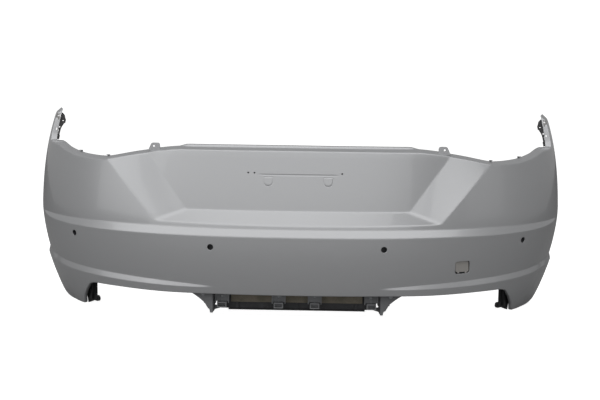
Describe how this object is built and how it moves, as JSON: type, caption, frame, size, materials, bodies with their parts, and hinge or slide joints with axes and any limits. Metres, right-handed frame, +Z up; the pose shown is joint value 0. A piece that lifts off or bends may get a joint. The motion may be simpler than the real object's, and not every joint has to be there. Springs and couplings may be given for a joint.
{
  "type": "bumper cover",
  "caption": "Rear bumper cover of a coupe: painted skin with plate recess, corner horns and legs, sensor holders, towing eye cap and a dark lower carrier.",
  "frame": {"origin": "centre of the footprint on the floor, under the middle of the overall box", "axes": "+X to the right as seen from behind the car, +Y forward into the car, so the outer face looks to -Y, +Z up"},
  "size_m": [1.8378, 0.5591, 0.647],
  "materials": {
    "skin_paint": "silver-grey metallic paint under clear coat on plastic",
    "cap_paint": "silver-grey metallic paint under clear coat, slightly warmer",
    "black_plastic": "moulded, satin black",
    "grey_plastic": "moulded, mid grey",
    "clip_plastic": "moulded, blue-grey",
    "carrier_plastic": "moulded, fine grain, dark grey",
    "pad_strip": "fibrous khaki strip",
    "spring_steel": "zinc plated",
    "screw_steel": "zinc plated, dull"
  },
  "bodies": {
    "cover": {"cover_skin": "skin_paint", "upper_guide_left": "black_plastic", "upper_guide_right": "black_plastic", "horn_nuts": "spring_steel", "lamp_edge_clips": "grey_plastic", "sensor_holder_outer_left": "grey_plastic", "sensor_holder_inner_left": "grey_plastic", "sensor_holder_inner_right": "grey_plastic", "sensor_holder_outer_right": "grey_plastic", "tow_cap_hinge": "black_plastic", "tow_eye_funnel": "black_plastic", "diffuser_carrier": "carrier_plastic", "carrier_fin_left": "carrier_plastic", "carrier_fin_right": "carrier_plastic", "clip_receiver_outer_left": "clip_plastic", "clip_receiver_inner_left": "clip_plastic", "clip_receiver_inner_right": "clip_plastic", "clip_receiver_outer_right": "clip_plastic", "receiver_screws": "screw_steel", "fin_screws": "screw_steel", "foam_strip": "pad_strip", "corner_bracket_left": "black_plastic", "corner_bracket_right": "black_plastic"},
    "cap": {"tow_eye_cap": "cap_paint"}
  },
  "joints": [
    {"name": "tow_cap_hinge_joint", "type": "hinge", "parent": "cover", "child": "cap", "pos_m": [0.5245, -0.20776, 0.15204], "axis": [0.9471, 0.3209, 0], "range_deg": [0, 104]}
  ]
}
